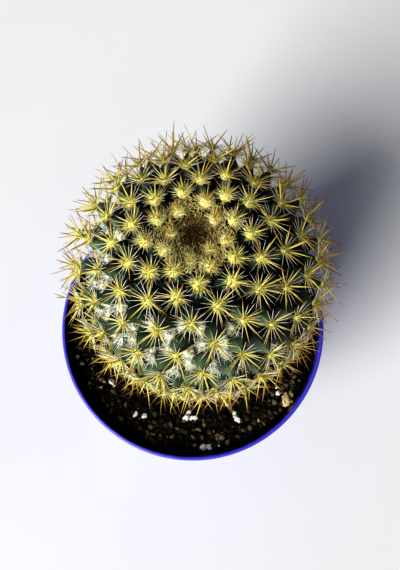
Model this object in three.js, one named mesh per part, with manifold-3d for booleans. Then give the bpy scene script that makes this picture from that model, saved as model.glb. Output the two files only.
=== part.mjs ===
// A small round cactus in a plastic pot, in millimetres, with +Z up.
// The origin is the middle of the pot's flat underside, and -Y is the side where the soil shows.
import * as THREE from 'three';
import { ConvexHull } from 'three/addons/math/ConvexHull.js';
import { mergeVertices } from 'three/addons/utils/BufferGeometryUtils.js';
import Module from 'manifold-3d';

const wasm = await Module();
wasm.setup();

// Pot: a thin moulded pot of the common 9 cm size, with a collar, a round lip and a ring foot
const potRimRadius = 45;
const potHeight = 78;
const potFootRadius = 31;
const potWall = 1.2;
const collarHeight = 10.5;
const collarStep = 2;
const collarTaper = 1;
const beadRadius = 0.7;
const beadStep = 44;
const footHeight = 1.6;
const footEdge = 0.7;
const footRingWidth = 2.4;
const footRingSlope = 1;
const footPadRadius = 11;
const footPadSlope = 1.2;
const floorThickness = 1.3;
const floorCorner = 0.8;
const drainHoleRadius = 2.6;
const drainHoleCircle = 20;
const drainHoleCount = 6;
const drainHoleSides = 12;
const roundSegments = 48;
const gap = 0.3;

// Soil: filled to a little below the rim, with grains and white lumps lying on it.
// Each white lump has its place across the bed and its size.
const soilBelowRim = 6;
const soilRelief = 0.55;
const soilRings = [13, 20, 26, 31, 35, 38.5, 41];
const grainCount = 26;
const grainSize = 1.1;
const grainLift = -0.05;
const grainRing = [25, 39];
const lumpLift = 0.2;
const lumpFlatness = 0.75;
const whiteLumps = [
  [-37.1, -9.4, 1.5], [-33.7, -17.8, 1.3], [-28.7, -18.8, 1.6], [-17.3, -28.7, 2.1], [0, -30.2, 2.9],
  [11.4, -25.8, 1.5], [14.9, -29.7, 1.9], [28.7, -19.8, 1.4], [31.2, -23.8, 2.3], [5.4, -38.4, 2.2],
];

// Plant: the surface that the areoles lie on is half of one ellipsoid above its widest level
// and half of a longer one below it. The plant leans a little, back and to the left.
const plantRadius = 36.65;
const plantRise = 33.3;
const plantDrop = 51.4;
const plantCentre = new THREE.Vector3(2.28, 11.75, potHeight + 36);
const leanBack = 6.05;
const leanSide = -2.16;
const lowestAreole = 32.6;
const crownDip = 5;
const crownDipAngle = 0.42;

// Areoles: one for each turn of about the golden angle, from the crown down,
// and more crowded towards the crown. The density is a count for each plantRadius squared.
const areoleTurn = 137.485;
const areoleStart = 144.19;
const areoleDensity = 13.09;
const crownCrowding = 6.29;
const crownSpread = 0.2587;
const firstCount = 0.83;

// Tubercles: full height past the grown angle, and lower again near the base
const tubercleHeight = 4.4;
const crownTubercle = 1.3;
const grownAngle = 0.75;
const baseFade = 0.55;
const areoleRadius = 1.15;
const areoleCrown = 0.35;

// Spines: a few for each areole, shorter and steeper in the crown. Each takes the first length,
// tilt and turn that leaves room beside the others.
const spineLength = 8.8;
const youngSpine = 0.42;
const spineSpread = [0.84, 1.08];
const spineTilt = 57;
const firstSpineTilt = -8;
const crownTilt = 14;
const spineSwing = 12;
const spineRoom = 0.85;
const spineApart = 22;
const spineChecks = 50;
const lengthTries = [1, 0.85, 0.7];
const tiltTries = [0, 6, -6, -12];
const turnTries = [0, 12, -12, 20, -20];
const roomOverSoil = 2.5;
const roomOverLip = 1.5;
const roomInsideLip = 5;

// Base of the plant: a ring that closes the body and a plain tapered foot in the soil
const baseDepth = 38.5;
const baseRadius = 20;
const baseSides = 20;
const plugTopRadius = 19.4;
const plugFootRadius = 15;
const plugChamfer = 2;
const plugDepth = 53;

const seed = 857;

// The same random numbers in each run
const random = (() => {
  let state = seed;
  return () => {
    state = (state + 0x6d2b79f5) | 0;
    let t = Math.imul(state ^ (state >>> 15), 1 | state);
    t = (t + Math.imul(t ^ (t >>> 7), 61 | t)) ^ t;
    return ((t ^ (t >>> 14)) >>> 0) / 4294967296;
  };
})();

const radians = THREE.MathUtils.degToRad;

// Solids and geometries

function cleaned(geometry) {
  const bare = geometry.clone();
  bare.deleteAttribute('normal');
  bare.deleteAttribute('uv');
  const merged = mergeVertices(bare, 1e-4);
  const index = merged.index.array;
  const kept = [];
  for (let i = 0; i < index.length; i += 3) {
    const [a, b, c] = [index[i], index[i + 1], index[i + 2]];
    if (a !== b && b !== c && c !== a) kept.push(a, b, c);
  }
  merged.setIndex(kept);
  return merged;
}

function toSolid(geometry) {
  const merged = cleaned(geometry);
  return new wasm.Manifold(new wasm.Mesh({
    numProp: 3,
    vertProperties: new Float32Array(merged.attributes.position.array),
    triVerts: new Uint32Array(merged.index.array),
  }));
}

function toGeometry(solid) {
  const mesh = solid.getMesh();
  const geometry = new THREE.BufferGeometry();
  geometry.setAttribute('position', new THREE.BufferAttribute(new Float32Array(mesh.vertProperties), 3));
  geometry.setIndex(new THREE.BufferAttribute(new Uint32Array(mesh.triVerts), 1));
  geometry.computeVertexNormals();
  return geometry;
}

// A profile of radius and height, given from the bottom outwards and back in, turned about +Z
function turned(profile, segments = roundSegments) {
  const points = profile.map(([radius, height]) => new THREE.Vector2(radius, height));
  return new THREE.LatheGeometry(points, segments).rotateX(Math.PI / 2);
}

function named(name, geometry, material) {
  const mesh = new THREE.Mesh(geometry, material);
  mesh.name = name;
  return mesh;
}

// Pot

const collarFoot = potHeight - collarHeight;
const floorTop = footHeight + floorThickness;
const wallTopRadius = potRimRadius - beadRadius - collarStep - collarTaper;
const collarRadius = wallTopRadius + collarStep;

// The round lip, from the outside of the collar over its top to the inside
function lip() {
  const points = [];
  for (let degrees = -40; degrees <= 180; degrees += beadStep) {
    const a = radians(degrees);
    points.push([
      potRimRadius - beadRadius + beadRadius * Math.cos(a), potHeight - beadRadius + beadRadius * Math.sin(a),
    ]);
  }
  return points;
}

function makePot() {
  const profile = [
    [0, 0], [footPadRadius, 0], [footPadRadius + footPadSlope, footHeight],
    [potFootRadius - footRingWidth - footRingSlope, footHeight], [potFootRadius - footRingWidth, 0],
    [potFootRadius - footEdge, 0], [potFootRadius, footEdge],
    [wallTopRadius, collarFoot - 1], [collarRadius, collarFoot + 0.2],
    [potRimRadius - 0.9, potHeight - 2 * beadRadius],
    ...lip(),
    [collarRadius - potWall, collarFoot + 0.8],
    [wallTopRadius - potWall, collarFoot - 0.5],
    [potFootRadius - potWall + floorCorner / 2, floorTop + floorCorner],
    [potFootRadius - potWall - floorCorner / 2, floorTop],
    [0, floorTop],
  ];
  let pot = toSolid(turned(profile));
  for (let i = 0; i < drainHoleCount; i++) {
    const angle = (i + 0.5) * 2 * Math.PI / drainHoleCount;
    const depth = 4 * footHeight;
    const hole = new THREE.CylinderGeometry(drainHoleRadius, drainHoleRadius, depth, drainHoleSides);
    hole.rotateX(Math.PI / 2);
    hole.translate(drainHoleCircle * Math.cos(angle), drainHoleCircle * Math.sin(angle), footHeight);
    pot = pot.subtract(toSolid(hole));
  }
  return toGeometry(pot);
}

// Plant

const axis = new THREE.Vector3(Math.tan(radians(leanSide)), Math.tan(radians(leanBack)), 1).normalize();
const sideways = new THREE.Vector3(1, 0, 0).addScaledVector(axis, -axis.x).normalize();
const backwards = new THREE.Vector3().crossVectors(axis, sideways);
const plantPlace = new THREE.Matrix4().makeBasis(sideways, backwards, axis).setPosition(plantCentre);

function surfaceAt(polar, turn) {
  const rise = polar < Math.PI / 2 ? plantRise : plantDrop;
  const out = new THREE.Vector3(Math.cos(turn) * Math.sin(polar), Math.sin(turn) * Math.sin(polar), 0);
  const point = out.clone().multiplyScalar(plantRadius).setZ(rise * Math.cos(polar));
  const normal = out.clone().divideScalar(plantRadius).setZ(Math.cos(polar) / rise).normalize();
  return { point, normal, polar };
}

// How far the crown dips below the ellipsoid
function dipAt(polar) {
  const reach = Math.min(polar / crownDipAngle, 1);
  return crownDip * (1 - reach * reach) ** 2;
}

// How high a tubercle stands over the grooves around it
function tubercleAt(polar, height) {
  const grown = THREE.MathUtils.smoothstep(polar, 0, grownAngle);
  const low = THREE.MathUtils.smoothstep(-height, lowestAreole - 6, baseDepth + 3);
  return (crownTubercle + (tubercleHeight - crownTubercle) * grown) * (1 - baseFade * low);
}

// Goes down the surface in small steps and places an areole each time that the count is reached
function placeAreoles() {
  const step = Math.PI / 3600;
  const areoles = [];
  let count = 0;
  for (let polar = step / 2; ; polar += step) {
    const rise = polar < Math.PI / 2 ? plantRise : plantDrop;
    if (rise * Math.cos(polar) < -lowestAreole) break;
    const stretch = Math.hypot(Math.cos(polar), rise / plantRadius * Math.sin(polar));
    const crowd = areoleDensity * (1 + crownCrowding * Math.exp(-polar / crownSpread));
    count += crowd * 2 * Math.PI * Math.sin(polar) * stretch * step;
    if (count >= areoles.length + firstCount) {
      areoles.push(surfaceAt(polar, radians(areoleStart - areoleTurn * areoles.length)));
    }
  }
  return areoles;
}

// Closest approach of two straight spines, as the least room left between their tapering sides
function roomBetween(first, second) {
  const line = new THREE.Line3(second.root, second.tip);
  const point = new THREE.Vector3();
  const close = new THREE.Vector3();
  let least = Infinity;
  for (let i = 0; i <= spineChecks; i++) {
    const t = i / spineChecks;
    point.lerpVectors(first.root, first.tip, t);
    const s = line.closestPointToPointParameter(point, true);
    line.at(s, close);
    least = Math.min(least, point.distanceTo(close) - spineRoom * (2 - t - s));
  }
  return least;
}

// A spine may not reach the soil, the pot's wall or the lip
function clearOfPot(tip) {
  const place = tip.clone().applyMatrix4(plantPlace);
  if (place.z < potHeight - soilBelowRim + roomOverSoil) return false;
  return Math.hypot(place.x, place.y) < potRimRadius - roomInsideLip || place.z > potHeight + roomOverLip;
}

// One spine over one side of an areole, or nothing where no try finds room for it
function growSpine(areole, root, outward, slot, others, own) {
  const young = THREE.MathUtils.smoothstep(areole.polar, 0.05, 0.7);
  const spread = spineSpread[0] + (spineSpread[1] - spineSpread[0]) * random();
  const length = spineLength * (youngSpine + (1 - youngSpine) * young) * spread;
  const lean = crownTilt + (spineTilt - crownTilt) * young + (slot === 0 ? firstSpineTilt * young : 0);
  const swing = (random() - 0.5) * spineSwing;
  const apart = radians(young > 0.3 ? spineApart : spineApart / 2);
  const near = others.filter((other) => other.root.distanceTo(root) < 2.4 * spineLength);
  for (const shorter of lengthTries) {
    for (const tiltMore of tiltTries) {
      for (const turnMore of turnTries) {
        const tilt = radians(lean + tiltMore);
        const direction = outward.clone().applyAxisAngle(areole.normal, radians(swing + turnMore))
          .multiplyScalar(Math.sin(tilt)).addScaledVector(areole.normal, Math.cos(tilt));
        const tip = root.clone().addScaledVector(direction, length * shorter);
        const spine = { root, tip, direction };
        if (!clearOfPot(tip)) continue;
        if (own.some((other) => other.direction.angleTo(direction) < apart)) continue;
        if (near.every((other) => roomBetween(spine, other) > 0 && roomBetween(other, spine) > 0)) {
          return spine;
        }
      }
    }
  }
  return null;
}

function makePlantBody() {
  const areoles = placeAreoles();
  const ring = [];
  for (let i = 0; i < baseSides; i++) {
    const turn = 2 * Math.PI * i / baseSides;
    const point = new THREE.Vector3(baseRadius * Math.cos(turn), baseRadius * Math.sin(turn), -baseDepth);
    ring.push({ point, plain: true });
  }
  const sites = [...areoles, ...ring];
  const siteOf = new Map(sites.map((site, i) => [site.point, i]));
  const hull = new ConvexHull().setFromPoints(sites.map((site) => site.point));

  // The triangles between neighbouring areoles, each with the low point between its tubercles
  const faces = hull.faces.map((face) => {
    const corners = [];
    let edge = face.edge;
    do {
      corners.push(siteOf.get(edge.head().point));
      edge = edge.next;
    } while (edge !== face.edge);
    return { corners, flat: corners.every((corner) => sites[corner].plain) };
  });
  const faceLeftOf = new Map();
  for (const face of faces) {
    face.corners.forEach((from, i) => faceLeftOf.set(`${from} ${face.corners[(i + 1) % 3]}`, face));
    if (face.flat) continue;
    const middle = new THREE.Vector3();
    face.corners.forEach((corner) => middle.addScaledVector(sites[corner].point, 1 / 3));
    const rise = middle.z > 0 ? plantRise : plantDrop;
    const flatRadius = Math.hypot(middle.x, middle.y) / plantRadius;
    const surface = surfaceAt(Math.atan2(flatRadius, middle.z / rise), Math.atan2(middle.y, middle.x));
    const sunk = tubercleAt(surface.polar, surface.point.z);
    face.valley = surface.point.clone().addScaledVector(surface.normal, -sunk);
    face.valley.z -= dipAt(surface.polar);
  }
  for (const areole of areoles) {
    areole.point = areole.point.clone();
    areole.point.z -= dipAt(areole.polar);
  }

  // Around each areole the wedges from it down to the low points, and a spine over each wedge
  const triangles = [];
  const spines = [];
  sites.forEach((site, here) => {
    const wedges = [];
    sites.forEach((other, there) => {
      const left = faceLeftOf.get(`${here} ${there}`);
      const right = faceLeftOf.get(`${there} ${here}`);
      if (!left) return;
      if (left.flat || right.flat) {
        if (!left.flat) triangles.push([site.point, other.point, left.valley]);
        return;
      }
      wedges.push({ from: right.valley, to: left.valley });
    });
    if (site.plain) {
      wedges.forEach(({ from, to }) => triangles.push([site.point, from, to]));
      return;
    }
    const reach = Math.min(...wedges.map(({ from }) => from.distanceTo(site.point)));
    const radius = Math.min(areoleRadius, 0.4 * reach);
    const edges = new Map();
    wedges.forEach(({ from }) => {
      const out = from.clone().sub(site.point);
      out.addScaledVector(site.normal, -out.dot(site.normal)).normalize();
      edges.set(from, site.point.clone().addScaledVector(out, radius));
    });
    const middle = site.point.clone().addScaledVector(site.normal, areoleCrown);
    const own = [];
    wedges.forEach(({ from, to }, slot) => {
      const [q, r] = [edges.get(from), edges.get(to)];
      triangles.push([q, from, to], [q, to, r]);
      const root = middle.clone().add(q).add(r).divideScalar(3);
      const outward = root.clone().sub(middle);
      outward.addScaledVector(site.normal, -outward.dot(site.normal)).normalize();
      const spine = growSpine(site, root, outward, slot, spines, own);
      if (!spine) {
        triangles.push([middle, q, r]);
        return;
      }
      own.push(spine);
      triangles.push([middle, q, spine.tip], [q, r, spine.tip], [r, middle, spine.tip]);
    });
    spines.push(...own);
  });
  for (const face of faces) {
    if (face.flat) triangles.push(face.corners.map((corner) => sites[corner].point));
  }

  return toSolid(new THREE.BufferGeometry().setFromPoints(triangles.flat()));
}

// The foot that stands in the soil, and grown by the gap the hole that it stands in
function makePlug(grown) {
  const top = -baseDepth + 2 + 4 * grown;
  const profile = [
    [0, -plugDepth - grown], [plugFootRadius - plugChamfer + grown, -plugDepth - grown],
    [plugFootRadius + grown, -plugDepth + plugChamfer], [plugTopRadius + grown, top],
    [0, top],
  ];
  return turned(profile, baseSides);
}

// Soil

const soilTop = potHeight - soilBelowRim;

function lump(x, y, z, size) {
  const stone = new THREE.IcosahedronGeometry(1, 0);
  stone.rotateX(2 * Math.PI * random());
  stone.rotateZ(2 * Math.PI * random());
  stone.scale(size * (0.85 + 0.4 * random()), size * (0.75 + 0.3 * random()), size * lumpFlatness);
  stone.rotateZ(2 * Math.PI * random());
  stone.translate(x, y, z);
  return toSolid(stone);
}

function makeSoil() {
  const wallAt = (z) => THREE.MathUtils.mapLinear(
    z, collarFoot + 0.8, potHeight, collarRadius - potWall, potRimRadius - 2 * beadRadius,
  );
  const sideGap = gap + 0.1;
  const edge = wallAt(soilTop) - sideGap;
  const rims = [...soilRings, edge];
  const points = [new THREE.Vector3(0, 0, soilTop)];
  const addRing = (radius, heightAt) => {
    for (let i = 0; i < roundSegments; i++) {
      const turn = 2 * Math.PI * i / roundSegments;
      points.push(new THREE.Vector3(radius * Math.sin(turn), radius * Math.cos(turn), heightAt()));
    }
  };
  rims.forEach((radius) => {
    addRing(radius, () => soilTop + (radius === edge ? -0.4 * random() : soilRelief * (2 * random() - 1)));
  });
  const sides = [
    [collarRadius - potWall - sideGap, collarFoot + 1.2],
    [wallTopRadius - potWall - sideGap, collarFoot - 0.1],
    [potFootRadius - potWall + floorCorner / 2 - gap, floorTop + floorCorner + sideGap],
    [potFootRadius - potWall - floorCorner + 0.1 - gap, floorTop + gap],
  ];
  sides.forEach(([radius, height]) => addRing(radius, () => height));
  points.push(new THREE.Vector3(0, 0, floorTop + gap));
  const last = points.length - 1;
  const index = [];
  const rows = rims.length + sides.length;
  for (let row = 0; row < rows; row++) {
    for (let i = 0; i < roundSegments; i++) {
      const next = (i + 1) % roundSegments;
      const [a, b] = [1 + row * roundSegments + i, 1 + row * roundSegments + next];
      if (row === 0) index.push(0, b, a);
      if (row === rows - 1) index.push(a, b, last);
      else index.push(a, b, b + roundSegments, a, b + roundSegments, a + roundSegments);
    }
  }
  const bed = new THREE.BufferGeometry().setFromPoints(points);
  bed.setIndex(index);
  let soil = toSolid(bed);
  for (const [x, y, size] of whiteLumps) {
    soil = soil.add(lump(x, y, soilTop + lumpLift * size, size));
  }
  for (let i = 0; i < grainCount; i++) {
    const turn = 2 * Math.PI * random();
    const radius = grainRing[0] + (grainRing[1] - grainRing[0]) * random();
    const size = grainSize * (0.7 + 0.6 * random());
    soil = soil.add(lump(radius * Math.cos(turn), radius * Math.sin(turn), soilTop + grainLift * size, size));
  }
  const hole = makePlug(gap).applyMatrix4(plantPlace);
  return toGeometry(soil.subtract(toSolid(hole)));
}

const potPlastic = new THREE.MeshStandardMaterial({ color: 0x4b4be1, roughness: 0.35, metalness: 0 });
const darkSoil = new THREE.MeshStandardMaterial({ color: 0x2b2119, roughness: 0.95, metalness: 0 });
const plantGreen = new THREE.MeshStandardMaterial({ color: 0x4a6a52, roughness: 0.7, metalness: 0 });

const plant = named('cactus', toGeometry(makePlantBody().add(toSolid(makePlug(0)))), plantGreen);
plant.applyMatrix4(plantPlace);

const pottedCactus = new THREE.Group();
pottedCactus.name = 'potted_cactus';
pottedCactus.add(named('pot', makePot(), potPlastic));
pottedCactus.add(named('soil', makeSoil(), darkSoil));
pottedCactus.add(plant);

export default pottedCactus;
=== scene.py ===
# A small round cactus in a violet blue plastic pot, finished over its fixed frame. Units are metres.
import math

import bmesh
import bpy
import numpy as np
from mathutils import Matrix, Vector


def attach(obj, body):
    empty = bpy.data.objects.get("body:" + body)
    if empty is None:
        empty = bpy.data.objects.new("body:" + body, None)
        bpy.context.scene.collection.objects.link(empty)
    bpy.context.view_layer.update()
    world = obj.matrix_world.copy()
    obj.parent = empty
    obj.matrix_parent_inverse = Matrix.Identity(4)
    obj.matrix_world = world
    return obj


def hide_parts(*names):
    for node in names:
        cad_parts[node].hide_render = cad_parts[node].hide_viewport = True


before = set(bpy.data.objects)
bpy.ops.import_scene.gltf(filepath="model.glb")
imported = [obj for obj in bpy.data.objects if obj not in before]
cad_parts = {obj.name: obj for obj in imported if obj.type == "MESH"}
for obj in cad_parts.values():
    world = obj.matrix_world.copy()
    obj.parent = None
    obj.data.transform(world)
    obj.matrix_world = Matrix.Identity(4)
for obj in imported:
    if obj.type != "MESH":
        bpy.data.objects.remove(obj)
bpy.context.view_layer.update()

mm = 0.001


# Node trees: small helpers shared by all. An output is given as (node, output).

# Sets each input to a plain value, or links it to an output.
def setInputs(tree, node, inputs):
    for key, value in inputs.items():
        if isinstance(value, tuple) and isinstance(value[0], bpy.types.Node):
            tree.links.new(value[0].outputs[value[1]], node.inputs[key])
        else:
            node.inputs[key].default_value = value


def addNode(tree, kind, inputs={}, **settings):
    node = tree.nodes.new(kind)
    for key, value in settings.items():
        setattr(node, key, value)
    setInputs(tree, node, inputs)
    return node


def mathNode(tree, operation, *values, **settings):
    return addNode(tree, "ShaderNodeMath", dict(enumerate(values)), operation=operation, **settings), 0


def vectorNode(tree, operation, first, second):
    other = "Scale" if operation == "SCALE" else 1
    return addNode(tree, "ShaderNodeVectorMath", {0: first, other: second}, operation=operation), "Vector"


def attributeNode(tree, name):
    return addNode(tree, "ShaderNodeAttribute", attribute_name=name, attribute_type="GEOMETRY"), "Fac"


# From 0 to top as the value goes from low to high, eased at both ends.
def ease(tree, value, low, high, top=1.0):
    return addNode(tree, "ShaderNodeMapRange", {
        "Value": value, "From Min": low, "From Max": high, "To Max": top},
        interpolation_type="SMOOTHSTEP"), "Result"


# From low to high as the value goes from 0 to 1.
def between(tree, value, low, high):
    return addNode(tree, "ShaderNodeMapRange", {"Value": value, "To Min": low, "To Max": high}), "Result"


def ramp(tree, source, stops):
    node = addNode(tree, "ShaderNodeValToRGB", {"Fac": source})
    elements = node.color_ramp.elements
    while len(elements) < len(stops):
        elements.new(0.5)
    for element, (position, colour) in zip(elements, stops):
        element.position = position
        element.color = (*colour, 1.0)
    return node, "Color"


# Each colour is three numbers or an output.
def mixColours(tree, share, first, second, mode="MIX"):
    first, second = ((*colour, 1.0) if len(colour) == 3 else colour for colour in (first, second))
    return addNode(tree, "ShaderNodeMix", {0: share, 6: first, 7: second},
                   data_type="RGBA", blend_type=mode), 2


# Each input is a name, a kind and a default, and each output a name and a kind.
def startGroup(name, treeKind, inputs, outputs):
    group = bpy.data.node_groups.new(name, treeKind)
    for label, kind, default in inputs:
        socket = group.interface.new_socket(name=label, in_out="INPUT", socket_type="NodeSocket" + kind)
        if default is not None:
            socket.default_value = default
    for label, kind in outputs:
        group.interface.new_socket(name=label, in_out="OUTPUT", socket_type="NodeSocket" + kind)
    return group, addNode(group, "NodeGroupInput"), addNode(group, "NodeGroupOutput")


# Soft blotches over the surface: a mask between 0 and 1, and the same as a height.
def makeMottleGroup():
    group, given, result = startGroup("mottle", "ShaderNodeTree", [
        ("Scale", "Float", 200.0), ("Low", "Float", 0.4), ("High", "Float", 0.6)],
        [("Mask", "Float"), ("Height", "Float")])
    place = addNode(group, "ShaderNodeTexCoord")
    noise = addNode(group, "ShaderNodeTexNoise", {
        "Vector": (place, "Object"), "Scale": (given, "Scale"), "Detail": 6.0})
    mask = ease(group, (noise, "Fac"), (given, "Low"), (given, "High"))
    setInputs(group, result, {"Mask": mask, "Height": (noise, "Fac")})
    return group


mottleGroup = makeMottleGroup()


def mottle(tree, scale, low=0.4, high=0.6):
    return addNode(tree, "ShaderNodeGroup", {"Scale": scale, "Low": low, "High": high},
                   node_tree=mottleGroup)


# Puts a share of the tint over the colour where the mottle's mask is.
def tinge(tree, colour, tint, spots, share):
    return mixColours(tree, mathNode(tree, "MULTIPLY", (spots, "Mask"), share), colour, tint)


def bump(tree, scale, strength, distance):
    return addNode(tree, "ShaderNodeBump", {
        "Height": (mottle(tree, scale), "Height"), "Strength": strength, "Distance": distance}), "Normal"


def newMaterial(name):
    material = bpy.data.materials.new(name)
    material.use_nodes = True
    return material, material.node_tree


# Gives the shader its colour and what the look, a dictionary, holds of roughness, bump, shine and
# glow. With a source, the look's roughness is a pair, and follows the source from one to the other.
def finishMaterial(material, colour, look, source=None):
    tree = material.node_tree
    roughness = look["roughness"]
    inputs = {"Base Color": colour,
              "Roughness": between(tree, source, *roughness) if source else roughness}
    if "bump" in look:
        inputs["Normal"] = bump(tree, *look["bump"])
    for key, socket in (("shine", "Specular IOR Level"), ("glow", "Subsurface Weight"),
                        ("glowDepth", "Subsurface Scale"), ("glowRadius", "Subsurface Radius")):
        if key in look:
            inputs[socket] = look[key]
    setInputs(tree, tree.nodes["Principled BSDF"], inputs)
    return material


# Objects and meshes: small helpers shared by all the pieces

def newObject(name, data):
    made = bpy.data.objects.new(name, data)
    bpy.context.scene.collection.objects.link(made)
    return made


def newPiece(name, mesh, material):
    piece = newObject(name, mesh)
    mesh.materials.append(material)
    mesh.shade_smooth()
    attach(piece, "root")
    return piece


# Turns what the piece's modifier makes into its plain mesh.
def keepResult(piece, modifier):
    bpy.context.view_layer.update()
    finished = bpy.data.meshes.new_from_object(piece.evaluated_get(bpy.context.evaluated_depsgraph_get()))
    piece.modifiers.remove(modifier)
    piece.data = finished
    return finished


def meshFromArrays(name, points, faces):
    mesh = bpy.data.meshes.new(name)
    mesh.from_pydata([tuple(p) for p in points], [], [tuple(int(i) for i in f) for f in faces])
    mesh.update()
    return mesh


# Stores a number, or a vector, for each point of a mesh.
def storeValues(mesh, name, values):
    values = np.asarray(values, dtype=np.float32)
    kind, field = ("FLOAT_VECTOR", "vector") if values.ndim == 2 else ("FLOAT", "value")
    mesh.attributes.new(name, kind, "POINT").data.foreach_set(field, values.ravel())


# One field of all the points, edges or stored values, with so many numbers in each.
def readValues(data, field, width=1, kind=float):
    values = np.empty(len(data) * width, dtype=kind)
    data.foreach_get(field, values)
    return values.reshape(-1, width) if width > 1 else values


onAxis = 1e-9        # a profile's point closer to the axis than this is on it


# A closed profile of (radius, height) turned about Z, with its ends on the axis.
def turnProfile(profile, segments):
    points, rows = [], []
    for radius, height in profile:
        if radius < onAxis:
            rows.append([len(points)] * segments)
            points.append((0.0, 0.0, height))
            continue
        rows.append([len(points) + i for i in range(segments)])
        for i in range(segments):
            turn = 2 * math.pi * i / segments
            points.append((radius * math.cos(turn), radius * math.sin(turn), height))
    faces = []
    for low, high in zip(rows, rows[1:]):
        for i in range(segments):
            j = (i + 1) % segments
            corners = [low[i], low[j], high[j], high[i]]
            face = [c for k, c in enumerate(corners) if c != corners[k - 1]]
            if len(face) > 2:
                faces.append(face)
    return points, faces


def arc(centre, radius, fromDegrees, toDegrees, steps):
    points = []
    for i in range(steps + 1):
        a = math.radians(fromDegrees + (toDegrees - fromDegrees) * i / steps)
        points.append((centre[0] + radius * math.cos(a), centre[1] + radius * math.sin(a)))
    return points


def straight(start, end, steps):
    return [tuple(point) for point in np.linspace(start, end, steps + 1)]


def smoothStep(value, low, high):
    t = np.clip((value - low) / (high - low), 0.0, 1.0)
    return t * t * (3 - 2 * t)


def unit(vector):
    return vector / np.linalg.norm(vector)


# What is left of a vector without its part along the normal.
def flattened(vector, normal):
    return vector - normal * (vector @ normal)


# Camera, floor and light

photoView = {
    "tilt": 11.0,                              # degrees off straight down
    "place": (2.47 * mm, -32.08 * mm, 316.72 * mm),
    "lens": 44.2, "sensor": 36.0, "nearest": 0.01,
}

studio = {
    "lightsAt": (0.0, 0.01, 0.09),
    # where each light stands, its size, power and colour
    "keyLight": ((-4.94, -4.87, 5.51), (5.0, 6.2), 1000.0, (1.0, 0.985, 0.91)),
    "fillLight": ((-1.7, 1.6, 1.7), (1.8, 1.8), 3.0, (0.95, 0.97, 1.0)),
    "skyColour": (0.84, 0.88, 1.0), "skyPower": 0.12, "look": "High Contrast",
}

ground = {
    "half": 1.6, "spots": (9.0, 0.3, 0.7), "colours": ((0.755, 0.765, 0.8), (0.775, 0.785, 0.82)),
    "roughness": 0.6,
}


def makeCamera():
    camera = newObject("photoCamera", bpy.data.cameras.new("photoCamera"))
    camera.data.lens = photoView["lens"]
    camera.data.sensor_width = photoView["sensor"]
    camera.data.sensor_fit = "AUTO"
    camera.data.clip_start = photoView["nearest"]
    camera.location = photoView["place"]
    camera.rotation_euler = (math.radians(photoView["tilt"]), 0.0, 0.0)
    bpy.context.scene.camera = camera


def makeAreaLight(name):
    origin, size, power, colour = studio[name]
    light = bpy.data.lights.new(name, "AREA")
    light.shape = "RECTANGLE"
    light.size, light.size_y = size
    light.energy = power
    light.color = colour
    lamp = newObject(name, light)
    lamp.location = origin
    aim = Vector(studio["lightsAt"]) - Vector(origin)
    lamp.rotation_euler = aim.to_track_quat("-Z", "Y").to_euler()


def makeStudio():
    makeAreaLight("keyLight")
    makeAreaLight("fillLight")
    world = bpy.data.worlds.new("studioSky")
    world.use_nodes = True
    setInputs(world.node_tree, world.node_tree.nodes["Background"], {
        "Color": (*studio["skyColour"], 1.0), "Strength": studio["skyPower"]})
    bpy.context.scene.world = world
    view = bpy.context.scene.view_settings
    view.view_transform = "Standard"
    view.look = studio["look"]


def makeFloor():
    half = ground["half"]
    mesh = meshFromArrays("studioFloor", [(-half, -half, 0), (half, -half, 0), (half, half, 0),
                                          (-half, half, 0)], [(0, 1, 2, 3)])
    floor = newObject("studioFloor", mesh)
    material, tree = newMaterial("paleFloor")
    colour = mixColours(tree, (mottle(tree, *ground["spots"]), "Mask"), *ground["colours"])
    mesh.materials.append(finishMaterial(material, colour, ground))


# Pot: the frame's pot with rounded edges and a round lip

pot = {
    "rim": 45 * mm, "height": 78 * mm, "foot": 31 * mm, "wall": 1.2 * mm,
    "collar": 10.5 * mm, "step": 2 * mm, "bead": 0.7 * mm, "taper": 1 * mm,
    "footRise": 1.6 * mm, "floor": 1.3 * mm, "pad": 11 * mm, "soft": 0.4 * mm, "footRound": 0.7 * mm,
    "holeRadius": 2.6 * mm, "holeCircle": 20 * mm, "holes": 6, "holeSides": 32, "holeDepth": 8 * mm,
    "segments": 192, "collarRows": 12, "crispAt": 35,
    # colours, and mottles by their scale, low and high
    "colour": (0.1, 0.085, 0.72), "deep": (0.088, 0.074, 0.67), "blotches": (60.0, 0.35, 0.65),
    "dust": (0.2, 0.19, 0.45), "dustSpots": (420.0, 0.62, 0.74), "dustShare": 0.35,
    # the near black of the pot's inside is painted shade, blotched by its mottle
    "paintedInnerShade": (0.006, 0.005, 0.012), "innerShadeSpots": (330.0, 0.3, 0.7), "innerShadeShare": 0.35,
    "roughness": (0.26, 0.42), "bump": (900.0, 0.12, 0.1 * mm), "glow": 0.15, "glowDepth": 1.2 * mm,
    # how far in from the lip's middle the painted shade on the inner wall starts and is full, on the left,
    # which faces away from the light, and on the right
    "innerShadeLeft": (0.15 * mm, 0.6 * mm), "innerShadeRight": (0.8 * mm, 1.15 * mm),
    # a thin line of painted shade in the crease under the lip
    "crease": (0.69 * mm, 0.79 * mm), "creaseShade": 0.5,
}
collarFoot = pot["height"] - pot["collar"]                          # the collar's lower edge
wallTop = pot["rim"] - pot["bead"] - pot["step"] - pot["taper"]     # the wall's radius there
floorTop = pot["footRise"] + pot["floor"]


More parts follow.
